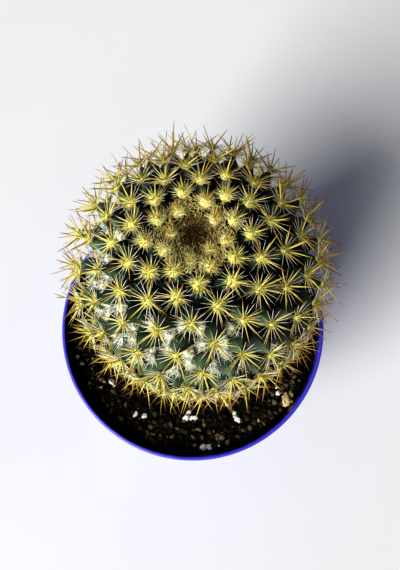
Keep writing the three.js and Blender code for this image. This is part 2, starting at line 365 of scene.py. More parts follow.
# From the middle of the underside out, up over the lip, and down inside to the middle of the floor.
def potProfile():
    p = pot
    soft, footRound = p["soft"], p["footRound"]
    return [
        # the pad in the middle of the underside
        (0.0, 0.0), (p["pad"] - soft, 0.0), *arc((p["pad"] - soft, soft), soft, -90, 0, 4),
        (p["pad"] + 1.2 * mm, p["footRise"]),
        # the ring foot
        (p["foot"] - 3.4 * mm, p["footRise"]), (p["foot"] - 2.4 * mm, soft), (p["foot"] - 2.1 * mm, 0.0),
        (p["foot"] - footRound, 0.0), *arc((p["foot"] - footRound, footRound), footRound, -90, 0, 5),
        # the wall's top and the step out to the collar
        (wallTop - 0.1 * mm, collarFoot - 1.2 * mm), (wallTop + 0.15 * mm, collarFoot - 0.8 * mm),
        (wallTop + p["step"] - 0.35 * mm, collarFoot - 0.05 * mm),
        (wallTop + p["step"] - 0.05 * mm, collarFoot + 0.1 * mm),
        (wallTop + p["step"] + 0.03 * mm, collarFoot + 0.5 * mm),
        (p["rim"] - 0.95 * mm, p["height"] - 2.4 * p["bead"]),
        # the lip
        *arc((p["rim"] - p["bead"], p["height"] - p["bead"]), p["bead"], -50, 185, 14),
        # the collar's inside and its step in to the wall
        *straight((p["rim"] - 2 * p["bead"] - 0.08 * mm, p["height"] - 1.8 * p["bead"]),
                  (wallTop + p["step"] - p["wall"] + 0.03 * mm, collarFoot + 1.2 * mm), p["collarRows"]),
        (wallTop + p["step"] - p["wall"] - 0.15 * mm, collarFoot + 0.75 * mm),
        (wallTop - p["wall"] + 0.2 * mm, collarFoot - 0.4 * mm),
        (wallTop - p["wall"] - 0.05 * mm, collarFoot - 0.8 * mm),
        # the inside of the wall and the floor
        (p["foot"] - p["wall"] + 0.5 * mm, floorTop + 1 * mm),
        (p["foot"] - p["wall"] - 0.2 * mm, floorTop + 0.1 * mm), (p["foot"] - 2.2 * mm, floorTop),
        (0.0, floorTop),
    ]


def potMaterial():
    material, tree = newMaterial("violetBluePlastic")
    blotch = mottle(tree, *pot["blotches"])
    colour = mixColours(tree, (blotch, "Mask"), pot["deep"], pot["colour"])
    colour = tinge(tree, colour, pot["dust"], mottle(tree, *pot["dustSpots"]), pot["dustShare"])
    # painted shade: the inside of the pot goes near black a little below the lip, blotched by a mottle
    innerShadeAmount = mathNode(tree, "MULTIPLY_ADD", (mottle(tree, *pot["innerShadeSpots"]), "Mask"),
                       pot["innerShadeShare"], attributeNode(tree, "paintedInnerShade"), use_clamp=True)
    innerShaded = mathNode(tree, "MULTIPLY", innerShadeAmount, attributeNode(tree, "inside"))
    colour = mixColours(tree, innerShaded, colour, pot["paintedInnerShade"])
    return finishMaterial(material, colour, pot, (blotch, "Height"))


# Marks the inside, and the painted shade on the inner wall, which starts nearer the lip on the left, away
# from the light, than on the right, with a thin line of it in the crease under the lip.
def markInnerShade(mesh, profile, places):
    rowSizes = np.where(profile[:, 0] < onAxis, 1, pot["segments"])
    inner = np.arange(len(profile)) > np.argmax(profile[:, 1])
    storeValues(mesh, "inside", np.repeat(inner * 1.0, rowSizes))
    radius = np.hypot(places[:, 0], places[:, 1])
    inward = pot["rim"] - pot["bead"] - radius
    rightward = (0.5 + 0.5 * places[:, 0] / np.maximum(radius, mm))[:, None]
    innerShadeEdges = np.array(pot["innerShadeLeft"]) * (1 - rightward) + np.array(pot["innerShadeRight"]) * rightward
    creased = (inward > pot["crease"][0]) & (inward < pot["crease"][1])
    storeValues(mesh, "paintedInnerShade", np.maximum(smoothStep(inward, innerShadeEdges[:, 0], innerShadeEdges[:, 1]),
                                          creased * pot["creaseShade"]))


def drainCutter():
    cutters = bmesh.new()
    for i in range(pot["holes"]):
        angle = (i + 0.5) * 2 * math.pi / pot["holes"]
        place = Matrix.Translation((pot["holeCircle"] * math.cos(angle),
                                    pot["holeCircle"] * math.sin(angle), pot["footRise"]))
        bmesh.ops.create_cone(cutters, cap_ends=True, segments=pot["holeSides"],
                              radius1=pot["holeRadius"], radius2=pot["holeRadius"],
                              depth=pot["holeDepth"], matrix=place)
    mesh = bpy.data.meshes.new("drainCutters")
    cutters.to_mesh(mesh)
    cutters.free()
    return newObject("drainCutters", mesh)


def makePot():
    profile = potProfile()
    points, faces = turnProfile(profile, pot["segments"])
    mesh = meshFromArrays("potShell", points, faces)
    markInnerShade(mesh, np.array(profile), np.array(points))
    shell = newPiece("potShell", mesh, potMaterial())
    cutter = drainCutter()
    cut = shell.modifiers.new("drainHoles", "BOOLEAN")
    cut.operation = "DIFFERENCE"
    cut.solver = "EXACT"
    cut.object = cutter
    finished = keepResult(shell, cut)
    bpy.data.objects.remove(cutter)
    finished.shade_smooth()
    finished.set_sharp_from_angle(angle=math.radians(pot["crispAt"]))
    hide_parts("pot")


# Plant: where its areoles stand. One for each turn of about the golden angle, from the crown down.

plant = {
    "radius": 36.65 * mm, "rise": 33.3 * mm, "drop": 51.4 * mm,
    "centre": Vector((2.28 * mm, 11.75 * mm, 114 * mm)), "leanBack": 6.05, "leanSide": -2.16,
    "lowestAreole": 32.6 * mm, "dip": 5 * mm, "dipAngle": 0.42,
    "turn": 137.485, "start": 144.19, "density": 13.09, "crowding": 6.29, "spread": 0.2587,
    "firstCount": 0.83, "scanSteps": 3600,
    "baseDepth": 38.5 * mm, "baseRadius": 20 * mm, "baseSides": 20,
    # how far the surface faces the light where the painted shade of the shady side begins and where it ends
    "shadyEdge": (0.1, 0.65),
}


def plantMatrix():
    axis = Vector((math.tan(math.radians(plant["leanSide"])),
                   math.tan(math.radians(plant["leanBack"])), 1.0)).normalized()
    sideways = (Vector((1, 0, 0)) - axis * axis.x).normalized()
    backwards = axis.cross(sideways)
    turned = Matrix((sideways, backwards, axis)).transposed().to_4x4()
    return Matrix.Translation(plant["centre"]) @ turned


plantPlace = plantMatrix()
plantTurn = np.array(plantPlace.to_3x3())
plantShift = np.array(plantPlace.translation)
toLight = unit(np.array(studio["keyLight"][0]) - np.array(studio["lightsAt"]))


def toWorld(points):
    return points @ plantTurn.T + plantShift


# 1 on the side away from the light, where painted shade goes on the skin and on the spines' tone, from
# normals in the plant's own axes.
def shadyAt(normals):
    return 1 - smoothStep(normals @ plantTurn.T @ toLight, *plant["shadyEdge"])


# Points and normals of the surface that the areoles lie on, in the plant's own axes.
def surfaceAt(polar, turn):
    rise = np.where(polar < math.pi / 2, plant["rise"], plant["drop"])
    out = np.stack([np.cos(turn) * np.sin(polar), np.sin(turn) * np.sin(polar)], axis=-1)
    points = np.concatenate([out * plant["radius"], (rise * np.cos(polar))[..., None]], axis=-1)
    normals = np.concatenate([out / plant["radius"], (np.cos(polar) / rise)[..., None]], axis=-1)
    return points, normals / np.linalg.norm(normals, axis=-1, keepdims=True)


# How deep the crown is sunk.
def dipAt(polar):
    reach = np.minimum(polar / plant["dipAngle"], 1.0)
    return plant["dip"] * (1 - reach * reach) ** 2


# Goes down the plant in narrow bands, and sets an areole each time their share has added up to one.
def placeAreoles():
    step = math.pi / plant["scanSteps"]
    polars = []
    count = 0.0
    polar = step / 2
    while True:
        rise = plant["rise"] if polar < math.pi / 2 else plant["drop"]
        if rise * math.cos(polar) < -plant["lowestAreole"]:
            break
        stretch = math.hypot(math.cos(polar), rise / plant["radius"] * math.sin(polar))
        crowd = plant["density"] * (1 + plant["crowding"] * math.exp(-polar / plant["spread"]))
        count += crowd * 2 * math.pi * math.sin(polar) * stretch * step
        if count >= len(polars) + plant["firstCount"]:
            polars.append(polar)
        polar += step
    turns = np.radians(plant["start"] - plant["turn"] * np.arange(len(polars)))
    return np.array(polars), turns


areolePolar, areoleTurn = placeAreoles()
areoleCount = len(areolePolar)


# Plant body: a cone-shaped tubercle under each areole, meeting its neighbours in deep grooves

body = {
    "height": 7.8 * mm, "crownHeight": 1.8 * mm, "fullHeightAt": 0.75, "steps": 9, "slopePower": 0.85,
    # the depths between which the lowest tubercles lose height, and how much
    "lowEdge": (plant["lowestAreole"] - 6 * mm, plant["baseDepth"] + 3 * mm), "lowLoss": 0.55,
    "footRows": ((19.3 * mm, 40.5 * mm), (18.2 * mm, 44 * mm), (15.5 * mm, 50.5 * mm)),
    "crispAt": 28, "footFrom": 2.2, "merge": 0.01 * mm,
    # colours from a tubercle's tip down to the groove, by the share of the way; the fall to near black
    # towards the groove is painted shade
    "slope": [(0.0, (0.14, 0.15, 0.06)), (0.18, (0.13, 0.19, 0.095)), (0.38, (0.06, 0.1, 0.052)),
              (0.62, (0.0003, 0.0008, 0.0005))],
    # colours over those, and mottles by their scale, low and high
    "bud": (0.05, 0.028, 0.01), "budEdge": (0.22, 0.4),
    "bloom": (0.09, 0.2, 0.135), "bloomSpots": (260.0, 0.46, 0.68), "bloomShare": 0.25,
    "fleckSpots": (1900.0, 0.56, 0.66), "fleckShare": 0.3,
    "cork": (0.12, 0.094, 0.05), "corkDark": (0.03, 0.023, 0.012), "corkSpots": (420.0, 0.42, 0.6),
    "corkEdge": (2.05, 2.35),
    # white wool painted on the skin only where the flanks face the light, so painted light as well as wool
    "woolAndPaintedLight": (0.72, 0.74, 0.57), "woolEdge": (0.5, 1.1), "woolBreak": 0.6,
    # painted shade: the skin's colour is multiplied by this on the shady side and the flats away from the
    # light
    "shade": (0.4, 0.36, 0.31), "flatShade": 0.9, "flatEdge": (0.0, 0.5),
    "roughness": (0.38, 0.62), "bump": (700.0, 0.35, 0.3 * mm), "shine": 0.3,
    "glow": 0.08, "glowDepth": 1.5 * mm,
}


def tubercleHeight(polar, height):
    grown = smoothStep(polar, 0.0, body["fullHeightAt"])
    low = smoothStep(-height, *body["lowEdge"])
    return ((body["crownHeight"] + (body["height"] - body["crownHeight"]) * grown)
            * (1 - body["lowLoss"] * low))


def polarOf(points):
    rise = np.where(points[..., 2] > 0, plant["rise"], plant["drop"])
    across = np.hypot(points[..., 0], points[..., 1]) / plant["radius"]
    return np.arctan2(across, points[..., 2] / rise)


def hullTriangles(points):
    shape = bmesh.new()
    for point in points:
        shape.verts.new(point)
    bmesh.ops.convex_hull(shape, input=shape.verts[:], use_existing_faces=False)
    shape.verts.index_update()
    bmesh.ops.triangulate(shape, faces=shape.faces[:])
    triangles = []
    for face in shape.faces:
        corners = [v.index for v in face.verts]
        if face.normal.dot(face.calc_center_median()) < 0:
            corners.reverse()
        triangles.append(corners)
    shape.free()
    return triangles


# Each tubercle is a fan of wedges from its areole to the low points around it.
def bodyWedges():
    sites, _ = surfaceAt(areolePolar, areoleTurn)
    ringTurn = 2 * math.pi * np.arange(plant["baseSides"]) / plant["baseSides"]
    ring = np.stack([plant["baseRadius"] * np.cos(ringTurn), plant["baseRadius"] * np.sin(ringTurn),
                     np.full(plant["baseSides"], -plant["baseDepth"])], axis=1)
    points = np.concatenate([sites, ring])
    leftOf = {}
    lows = {}
    for number, corners in enumerate(hullTriangles(points)):
        if any(c < areoleCount for c in corners):
            lows[number] = points[corners].mean(axis=0)
        for k in range(3):
            leftOf[(corners[k], corners[(k + 1) % 3])] = number
    wedges = []
    for (here, there), left in leftOf.items():
        right = leftOf[(there, here)]
        if left in lows and right in lows:
            wedges.append((points[here], lows[right], lows[left], False))
        elif left in lows:
            wedges.append((lows[left], points[here], points[there], True))
    return wedges, lows


# One wedge's points, as how far out and how far across they lie, and its triangles.
def wedgeGrid(steps):
    grid = [(i, j) for i in range(steps + 1) for j in range(i + 1)]
    index = {key: n for n, key in enumerate(grid)}
    out = np.array([i / steps for i, j in grid])
    across = np.array([j / i if i else 0.0 for i, j in grid])
    small = []
    for i in range(steps):
        for j in range(i + 1):
            small.append((index[(i, j)], index[(i + 1, j)], index[(i + 1, j + 1)]))
            if j < i:
                small.append((index[(i, j)], index[(i + 1, j + 1)], index[(i, j + 1)]))
    return out, across, np.array(small)


def makeBody():
    wedges, lows = bodyWedges()
    out, across, small = wedgeGrid(body["steps"])
    centres, fromLow, toLow, inverted = (np.array(column) for column in zip(*wedges))
    edge = fromLow[:, None] * (1 - across)[None, :, None] + toLow[:, None] * across[None, :, None]
    flat = centres[:, None] * (1 - out)[None, :, None] + edge * out[None, :, None]
    polar = polarOf(flat)
    surface, normal = surfaceAt(polar, np.arctan2(flat[..., 1], flat[..., 0]))
    slope = np.where(inverted[:, None], 1 - out[None], out[None])
    sunk = tubercleHeight(polar, surface[..., 2]) * slope ** body["slopePower"]
    placed = surface - normal * sunk[..., None]
    placed[..., 2] -= dipAt(polar)
    faces = (small[None] + (np.arange(len(wedges)) * len(out))[:, None, None]).reshape(-1, 3)
    mesh = meshFromArrays("cactusBody", toWorld(placed.reshape(-1, 3)), faces)
    storeValues(mesh, "slope", slope.reshape(-1))
    storeValues(mesh, "polar", polar.reshape(-1))
    storeValues(mesh, "shady", shadyAt(normal).reshape(-1))
    shape = bmesh.new()
    shape.from_mesh(mesh)
    bmesh.ops.remove_doubles(shape, verts=shape.verts, dist=body["merge"])
    closeFoot(shape)
    bmesh.ops.recalc_face_normals(shape, faces=shape.faces)
    shape.to_mesh(mesh)
    shape.free()
    markShadyFlats(mesh)
    piece = newPiece("cactusBody", mesh, skinMaterial())
    markCrispEdges(mesh)
    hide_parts("cactus")
    return piece, lows


# The edges between the tubercles' flats stay crisp, down to the corky foot, which is smooth.
def markCrispEdges(mesh):
    mesh.set_sharp_from_angle(angle=math.radians(body["crispAt"]))
    polar = readValues(mesh.attributes["polar"].data, "value")
    ends = readValues(mesh.edges, "vertices", 2, np.int32)
    layer = mesh.attributes["sharp_edge"].data
    crisp = readValues(layer, "value", kind=bool)
    layer.foreach_set("value", crisp & (polar[ends].min(axis=1) < body["footFrom"]))


# How far each point of a mesh faces the light, from -1 to 1.
def facingLight(mesh):
    return readValues(mesh.vertices, "normal", 3) @ toLight


# A tubercle's flats that turn away from the light get painted shade too, wherever they are.
def markShadyFlats(mesh):
    layer = mesh.attributes["shady"].data
    away = body["flatShade"] * (1 - smoothStep(facingLight(mesh), *body["flatEdge"]))
    layer.foreach_set("value", np.maximum(readValues(layer, "value"), away).astype(np.float32))


# The plain foot below the last tubercles, which stands in the soil. It is made by hand, row by row,
# because Blender's extrude puts its faces in another order at each run.
def closeFoot(shape):
    inverse = plantPlace.inverted()
    rim = [tuple(e.verts) for e in shape.edges if e.is_boundary]
    for radius, depth in body["footRows"]:
        below = {}
        for vert in dict.fromkeys(v for pair in rim for v in pair):
            own = inverse @ vert.co
            flat = Vector((own.x, own.y)).normalized() * radius
            below[vert] = shape.verts.new(plantPlace @ Vector((flat.x, flat.y, -depth)), vert)
        for first, second in rim:
            shape.faces.new((first, second, below[second], below[first]))
        rim = [(below[first], below[second]) for first, second in rim]
    bmesh.ops.contextual_create(shape, geom=[shape.edges.get(pair) for pair in rim])


def skinMaterial():
    material, tree = newMaterial("cactusSkin")
    polar = attributeNode(tree, "polar")
    # painted shade: the skin darkens to near black towards the grooves between the tubercles
    colour = ramp(tree, attributeNode(tree, "slope"), body["slope"])
    bloomy = mottle(tree, *body["bloomSpots"])
    colour = tinge(tree, colour, body["bloom"], bloomy, body["bloomShare"])
    bark = mixColours(tree, (mottle(tree, *body["corkSpots"]), "Mask"), body["corkDark"], body["cork"])
    colour = mixColours(tree, ease(tree, polar, *body["corkEdge"]), colour, bark)
    fleck = mottle(tree, *body["fleckSpots"])
    colour = tinge(tree, colour, body["bloom"], fleck, body["fleckShare"])
    colour = mixColours(tree, ease(tree, polar, *body["budEdge"]), body["bud"], colour)
    # painted shade on the side and the flats that face away from the light
    colour = mixColours(tree, attributeNode(tree, "shady"), colour, body["shade"], "MULTIPLY")
    # the edge of the white wool, painted light as well as wool since it lies only on the flanks that face
    # the light, is broken up by the fine mottle
    ragged = mathNode(tree, "MULTIPLY_ADD", (fleck, "Height"), body["woolBreak"],
                      attributeNode(tree, "woolAndPaintedLight"))
    colour = mixColours(tree, ease(tree, ragged, *body["woolEdge"]), colour, body["woolAndPaintedLight"])
    return finishMaterial(material, colour, body, (bloomy, "Height"))


# Geometry trees: all the repeats grow from seeds, points that carry their size, tone and so on

def attributeInput(tree, name, kind="FLOAT"):
    return addNode(tree, "GeometryNodeInputNamedAttribute", {"Name": name}, data_type=kind), "Attribute"


def startTree(name, inputs):
    return startGroup(name, "GeometryNodeTree", [("Geometry", "Geometry", None), *inputs],
                      [("Geometry", "Geometry")])


# A copy of the shape on each seed.
def copyOnSeeds(tree, given, shape, rotation, scale):
    copies = addNode(tree, "GeometryNodeInstanceOnPoints", {
        "Points": (given, "Geometry"), "Instance": shape, "Rotation": rotation, "Scale": scale})
    return addNode(tree, "GeometryNodeRealizeInstances", {"Geometry": (copies, "Instances")}), "Geometry"


# The shape's Z lies along the seed's aim, with its width across and its size along.
def standOnSeeds(tree, given, shape):
    aim = attributeInput(tree, "aim", "FLOAT_VECTOR")
    facing = addNode(tree, "FunctionNodeAlignRotationToVector", {"Vector": aim}, axis="Z")
    width = attributeInput(tree, "width")
    size = attributeInput(tree, "size")
    scale = addNode(tree, "ShaderNodeCombineXYZ", {"X": width, "Y": width, "Z": size})
    return copyOnSeeds(tree, given, shape, (facing, "Rotation"), (scale, "Vector"))


# A push by noise, up to half the amount each way.
def noisePush(tree, noise, amount):
    centred = vectorNode(tree, "SUBTRACT", (noise, "Color"), (0.5, 0.5, 0.5))
    return vectorNode(tree, "SCALE", centred, amount)


# Moves the points, shades them smooth, sets the material and ends the tree.
def endTree(tree, given, result, shape, offset):
    moved = addNode(tree, "GeometryNodeSetPosition", {"Geometry": shape, "Offset": offset})
    smooth = addNode(tree, "GeometryNodeSetShadeSmooth", {"Geometry": (moved, "Geometry")})
    dressed = addNode(tree, "GeometryNodeSetMaterial", {
        "Geometry": (smooth, "Geometry"), "Material": (given, "Finish")})
    setInputs(tree, result, {"Geometry": (dressed, "Geometry")})


# Pushes each point about by noise, by Rough times its stone's own size, and ends the tree.
def endRough(tree, given, result, shape, size):
    noise = addNode(tree, "ShaderNodeTexNoise", {"Scale": (given, "Rough Scale"), "Detail": 3.0})
    amount = mathNode(tree, "MULTIPLY", (given, "Rough"), size)
    endTree(tree, given, result, shape, noisePush(tree, noise, amount))


# Spines and hairs: a cone on each seed, swollen by Taper, bent by the seed's bend and waved by noise.
def makeGrowTree():
    tree, given, result = startTree("growSpines", [
        ("Sides", "Int", 5), ("Segments", "Int", 4), ("Taper", "Float", 0.7), ("Wave", "Float", 0.0),
        ("Wave Scale", "Float", 900.0), ("Seed", "Float", 1.0), ("Finish", "Material", None)])
    cone = addNode(tree, "GeometryNodeMeshCone", {
        "Vertices": (given, "Sides"), "Side Segments": (given, "Segments"),
        "Radius Top": 0.0, "Radius Bottom": 1.0, "Depth": 1.0}, fill_type="NGON")
    place = (addNode(tree, "GeometryNodeInputPosition"), "Position")
    height = (addNode(tree, "ShaderNodeSeparateXYZ", {"Vector": place}), "Z")
    marked = addNode(tree, "GeometryNodeStoreNamedAttribute", {
        "Geometry": (cone, "Mesh"), "Name": "along", "Value": height}, data_type="FLOAT", domain="POINT")
    fromTip = mathNode(tree, "SUBTRACT", 1.0001, height)        # never quite 0, for the power
    power = mathNode(tree, "SUBTRACT", (given, "Taper"), 1.0)
    swell = mathNode(tree, "POWER", fromTip, power)
    widen = (addNode(tree, "ShaderNodeCombineXYZ", {"X": swell, "Y": swell, "Z": 1.0}), "Vector")
    swollen = addNode(tree, "GeometryNodeSetPosition", {
        "Geometry": (marked, "Geometry"), "Position": vectorNode(tree, "MULTIPLY", place, widen)})
    stood = standOnSeeds(tree, given, (swollen, "Geometry"))
    along = attributeInput(tree, "along")
    bent = vectorNode(tree, "SCALE", attributeInput(tree, "bend", "FLOAT_VECTOR"),
                      mathNode(tree, "POWER", along, 2.0))
    noise = addNode(tree, "ShaderNodeTexNoise", {
        "Scale": (given, "Wave Scale"), "W": (given, "Seed"), "Detail": 1.0}, noise_dimensions="4D")
    waved = noisePush(tree, noise, mathNode(tree, "MULTIPLY", along, (given, "Wave")))
    endTree(tree, given, result, stood, vectorNode(tree, "ADD", bent, waved))
    return tree


def ballNode(tree, given):
    return addNode(tree, "GeometryNodeMeshIcoSphere", {
        "Radius": 1.0, "Subdivisions": (given, "Fineness")}), "Mesh"


# Low round cushions of felt.
def makeCushionTree():
    tree, given, result = startTree("feltCushions", [
        ("Fineness", "Int", 3), ("Rough", "Float", 0.3), ("Rough Scale", "Float", 900.0),
        ("Finish", "Material", None)])
    stood = standOnSeeds(tree, given, ballNode(tree, given))
    endRough(tree, given, result, stood, attributeInput(tree, "width"))
    return tree


# The least and the most that a stone is stretched along each axis, and the most that it is turned.
stretch = ((0.65, 0.65, 0.55), (1.25, 1.1, 0.9))
mostTurn = (6.283, 6.283, 6.283)


# Small stones, each stretched and turned by chance.
def makeGrainTree():
    tree, given, result = startTree("strewGrains", [
        ("Fineness", "Int", 1), ("Rough", "Float", 0.3), ("Rough Scale", "Float", 900.0),
        ("Seed", "Int", 1), ("Finish", "Material", None)])
    seed = (given, "Seed")
    turn = addNode(tree, "FunctionNodeRandomValue", {1: mostTurn, "Seed": seed},
                   data_type="FLOAT_VECTOR")
    squash = addNode(tree, "FunctionNodeRandomValue", {0: stretch[0], 1: stretch[1], "Seed": seed},
                     data_type="FLOAT_VECTOR")
    size = attributeInput(tree, "size")
    scale = vectorNode(tree, "SCALE", (squash, 0), size)
    endRough(tree, given, result, copyOnSeeds(tree, given, ballNode(tree, given), (turn, 0), scale), size)
    return tree


growTree = makeGrowTree()
cushionTree = makeCushionTree()
grainTree = makeGrainTree()


# Runs a tree on the seeds and keeps the result as a plain mesh. Each seed is its place and its values.
def growPiece(name, seeds, tree, values, finish,
              fields=("aim", "bend", "size", "width", "tone", "youth")):
    places, *columns = zip(*seeds)
    mesh = bpy.data.meshes.new(name)
    mesh.vertices.add(len(places))
    mesh.vertices.foreach_set("co", np.asarray(places, dtype=np.float32).ravel())
    for field, column in zip(fields, columns):
        storeValues(mesh, field, column)
    piece = newObject(name, mesh)
    grow = piece.modifiers.new("grow", "NODES")
    grow.node_group = tree
    values = {**values, "Finish": finish}
    for item in tree.interface.items_tree:
        if item.item_type == "SOCKET" and item.in_out == "INPUT" and item.name in values:
            grow[item.identifier] = values[item.name]
    finished = keepResult(piece, grow)
    finished.name = name
    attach(piece, "root")
    print(name, len(finished.vertices), "points", len(finished.polygons), "faces")


# Tip point, normal and two cross directions of each areole, in the frame's axes.
def areoleFrames():
    points, normals = surfaceAt(areolePolar, areoleTurn)
    points[:, 2] -= dipAt(areolePolar)
    down = np.stack([np.cos(areoleTurn) * np.cos(areolePolar), np.sin(areoleTurn) * np.cos(areolePolar),
                     -np.sin(areolePolar)], axis=1)
    down -= normals * (down * normals).sum(axis=1, keepdims=True)
    down /= np.linalg.norm(down, axis=1, keepdims=True)
    side = np.cross(normals, down)
    return toWorld(points), normals @ plantTurn.T, down @ plantTurn.T, side @ plantTurn.T


tipPoint, tipNormal, tipDown, tipSide = areoleFrames()
tipShady = shadyAt(tipNormal @ plantTurn)


# Spines: some thick ones that stand out from each areole, and a ring of fine ones that lie flatter

spines = {
    # the innermost areoles are still in bud, under the brown wool
    "budded": 0.14, "grownEdge": (0.06, 0.62),
    "lowest": 73.2 * mm, "wallRadius": 41.5 * mm, "lipRoom": 1 * mm,
    # spines on the side away from the light are toned darker by shadyTone: painted shade
    "shadyTone": 0.4, "widthSpread": 0.4,
    # where on a spine's tone and youth a colour starts and is full, and its share there
    "darkEdge": (0.72, 1.0, 0.7), "youngEdge": (0.35, 1.0, 0.85),
    "streaks": (1500.0, 0.3, 0.7), "streakShare": 0.25, "roughness": (0.32, 0.55),
    "glow": 0.25, "glowRadius": (1.0, 0.75, 0.4), "glowDepth": 0.2 * mm,
}

centrals = {
    "seed": 31, "count": (5, 8), "length": (6.4 * mm, 8.8 * mm), "youngLength": 0.5,
    "tilt": (38, 70), "youngTilt": 12, "leastSpread": 0.15, "firstTilt": 0.45, "inMiddle": 1,
    "uneven": 0.22, "width": 0.24 * mm, "thinnest": 0.75, "widthByAge": (0.55, 0.45),
    "root": 0.45 * mm, "rootSunk": 0.9, "bend": 0.16 * mm, "bendFor": 9 * mm,
    # a spine that would touch the soil or the pot is lifted and shortened this many times at most
    "lifts": 4, "lift": 0.35, "liftedSize": 0.9,
    "shape": {"Sides": 6, "Segments": 5, "Taper": 0.55},
    "stops": [(0.0, (0.9, 0.82, 0.34)), (0.22, (0.84, 0.78, 0.2)), (0.6, (0.74, 0.61, 0.13)),
              (0.76, (0.46, 0.28, 0.06)), (0.88, (0.18, 0.09, 0.028)), (1.0, (0.06, 0.028, 0.012))],
    "young": (0.8, 0.6, 0.17), "dark": (0.3, 0.15, 0.03),
}

radials = {
    "seed": 32, "count": (15, 19), "length": (4.2 * mm, 5.8 * mm), "youngLength": 0.5,
    "tilt": (64, 80), "youngTilt": 30, "leastSpread": 0.25, "inMiddle": 0,
    "uneven": 0.18, "width": 0.12 * mm, "thinnest": 0.8, "widthByAge": (0.6, 0.4),
    "root": 0.8 * mm, "rootSunk": 0.2 * mm, "bend": 0.04 * mm, "bendSpread": 0.5, "curl": 0.4,
    "shape": {"Sides": 4, "Segments": 3, "Taper": 0.6},
    "stops": [(0.0, (0.9, 0.82, 0.34)), (0.25, (0.93, 0.89, 0.6)), (0.5, (0.95, 0.93, 0.8)),
              (1.0, (0.95, 0.94, 0.86))],
    "young": (0.68, 0.54, 0.24), "dark": (0.72, 0.64, 0.42),
}

tipGrown = smoothStep(areolePolar, *spines["grownEdge"])
grownAreoles = np.flatnonzero(areolePolar > spines["budded"])


def aimFrom(number, tilt, azimuth):
    across = np.cos(azimuth) * tipSide[number] + np.sin(azimuth) * tipDown[number]
    return math.cos(tilt) * tipNormal[number] + math.sin(tilt) * across


# A spine stays out of the soil and away from the pot's wall and lip.
def clearsPot(place, aim, size):
    tip = place + aim * size
    if tip[2] < spines["lowest"]:
        return False
    return math.hypot(tip[0], tip[1]) < spines["wallRadius"] or tip[2] > pot["height"] + spines["lipRoom"]


# For each spine of each areole: the areole, its number there, a tilt in degrees, a turn and a size.
def eachSpine(draw, kind):
    for n in grownAreoles:
        count = int(draw.integers(kind["count"][0], kind["count"][1] + 1))
        phase = draw.uniform(0, 2 * math.pi)
        for k in range(count):
            tilt = draw.uniform(*kind["tilt"])
            uneven = draw.uniform(-kind["uneven"], kind["uneven"])
            turn = phase + 2 * math.pi * (k + uneven) / max(count - kind["inMiddle"], 1)
            size = draw.uniform(*kind["length"])
            size *= kind["youngLength"] + (1 - kind["youngLength"]) * tipGrown[n]
            yield n, k, tilt, turn, size


def spineSeed(draw, kind, n, place, aim, bend, size):
    grown = tipGrown[n]
    young, more = kind["widthByAge"]
    width = kind["width"] * (kind["thinnest"] + spines["widthSpread"] * draw.random())
    # painted shade: the tone, which picks the darker colour, is raised on the side away from the light
    tone = draw.random() + spines["shadyTone"] * tipShady[n]
    return place, aim, bend, size, width * (young + more * grown), tone, 1 - grown


def seedCentrals(draw):
    young = centrals["youngTilt"]
    for n, k, drawnTilt, turn, size in eachSpine(draw, centrals):
        tilt = math.radians(young + (drawnTilt - young) * max(tipGrown[n], centrals["leastSpread"]))
        if k == 0:
            tilt *= centrals["firstTilt"]
        aim = aimFrom(n, tilt, turn)
        place = tipPoint[n] + centrals["root"] * (aim - tipNormal[n] * centrals["rootSunk"])
        for _ in range(centrals["lifts"]):
            if clearsPot(place, aim, size):
                break
            aim = unit(aim + np.array([0, 0, centrals["lift"]]))
            size *= centrals["liftedSize"]
        else:
            continue
        bend = draw.normal(0, 1, 3) * centrals["bend"] * size / centrals["bendFor"]
        yield spineSeed(draw, centrals, n, place, aim, flattened(bend, aim), size)


def seedRadials(draw):
    young, least = radials["youngTilt"], radials["leastSpread"]
    for n, _, drawnTilt, turn, size in eachSpine(draw, radials):
        tilt = math.radians(young + (drawnTilt - young) * (least + (1 - least) * tipGrown[n]))
        aim = aimFrom(n, tilt, turn)
        outward = flattened(aim, tipNormal[n])
        place = tipPoint[n] + radials["root"] * outward - tipNormal[n] * radials["rootSunk"]
        if not clearsPot(place, aim, size):
            continue
        bend = (draw.normal(0, radials["bendSpread"], 3) * radials["bend"]
                + tipNormal[n] * radials["bend"] * radials["curl"])
        yield spineSeed(draw, radials, n, place, aim, bend, size)


def spineMaterial(name, kind):
    material, tree = newMaterial(name)
    colour = ramp(tree, attributeNode(tree, "along"), kind["stops"])
    # the dark colour follows the tone, partly by chance and partly as painted shade
    darker = ease(tree, attributeNode(tree, "tone"), *spines["darkEdge"])
    colour = mixColours(tree, darker, colour, kind["dark"])
    young = ease(tree, attributeNode(tree, "youth"), *spines["youngEdge"])
    colour = mixColours(tree, young, colour, kind["young"])
    streak = mottle(tree, *spines["streaks"])
    colour = tinge(tree, colour, kind["dark"], streak, spines["streakShare"])
    return finishMaterial(material, colour, spines, (streak, "Height"))


def makeSpines():
    for name, kind, makeSeeds, finish in (("centralSpines", centrals, seedCentrals, "goldenSpine"),
                                          ("radialSpines", radials, seedRadials, "creamSpine")):
        seeds = makeSeeds(np.random.default_rng(kind["seed"]))
        growPiece(name, seeds, growTree, kind["shape"], spineMaterial(finish, kind))


# Wool: a cushion of short hairs on each areole, the brown crown, and tufts in the grooves

wool = {
    "spots": (500.0, 0.35, 0.7), "spotShare": 0.15, "toneShare": 0.25, "darkest": 0.55,
    "roughness": 0.85, "glow": 0.3, "glowDepth": 0.8 * mm,
}

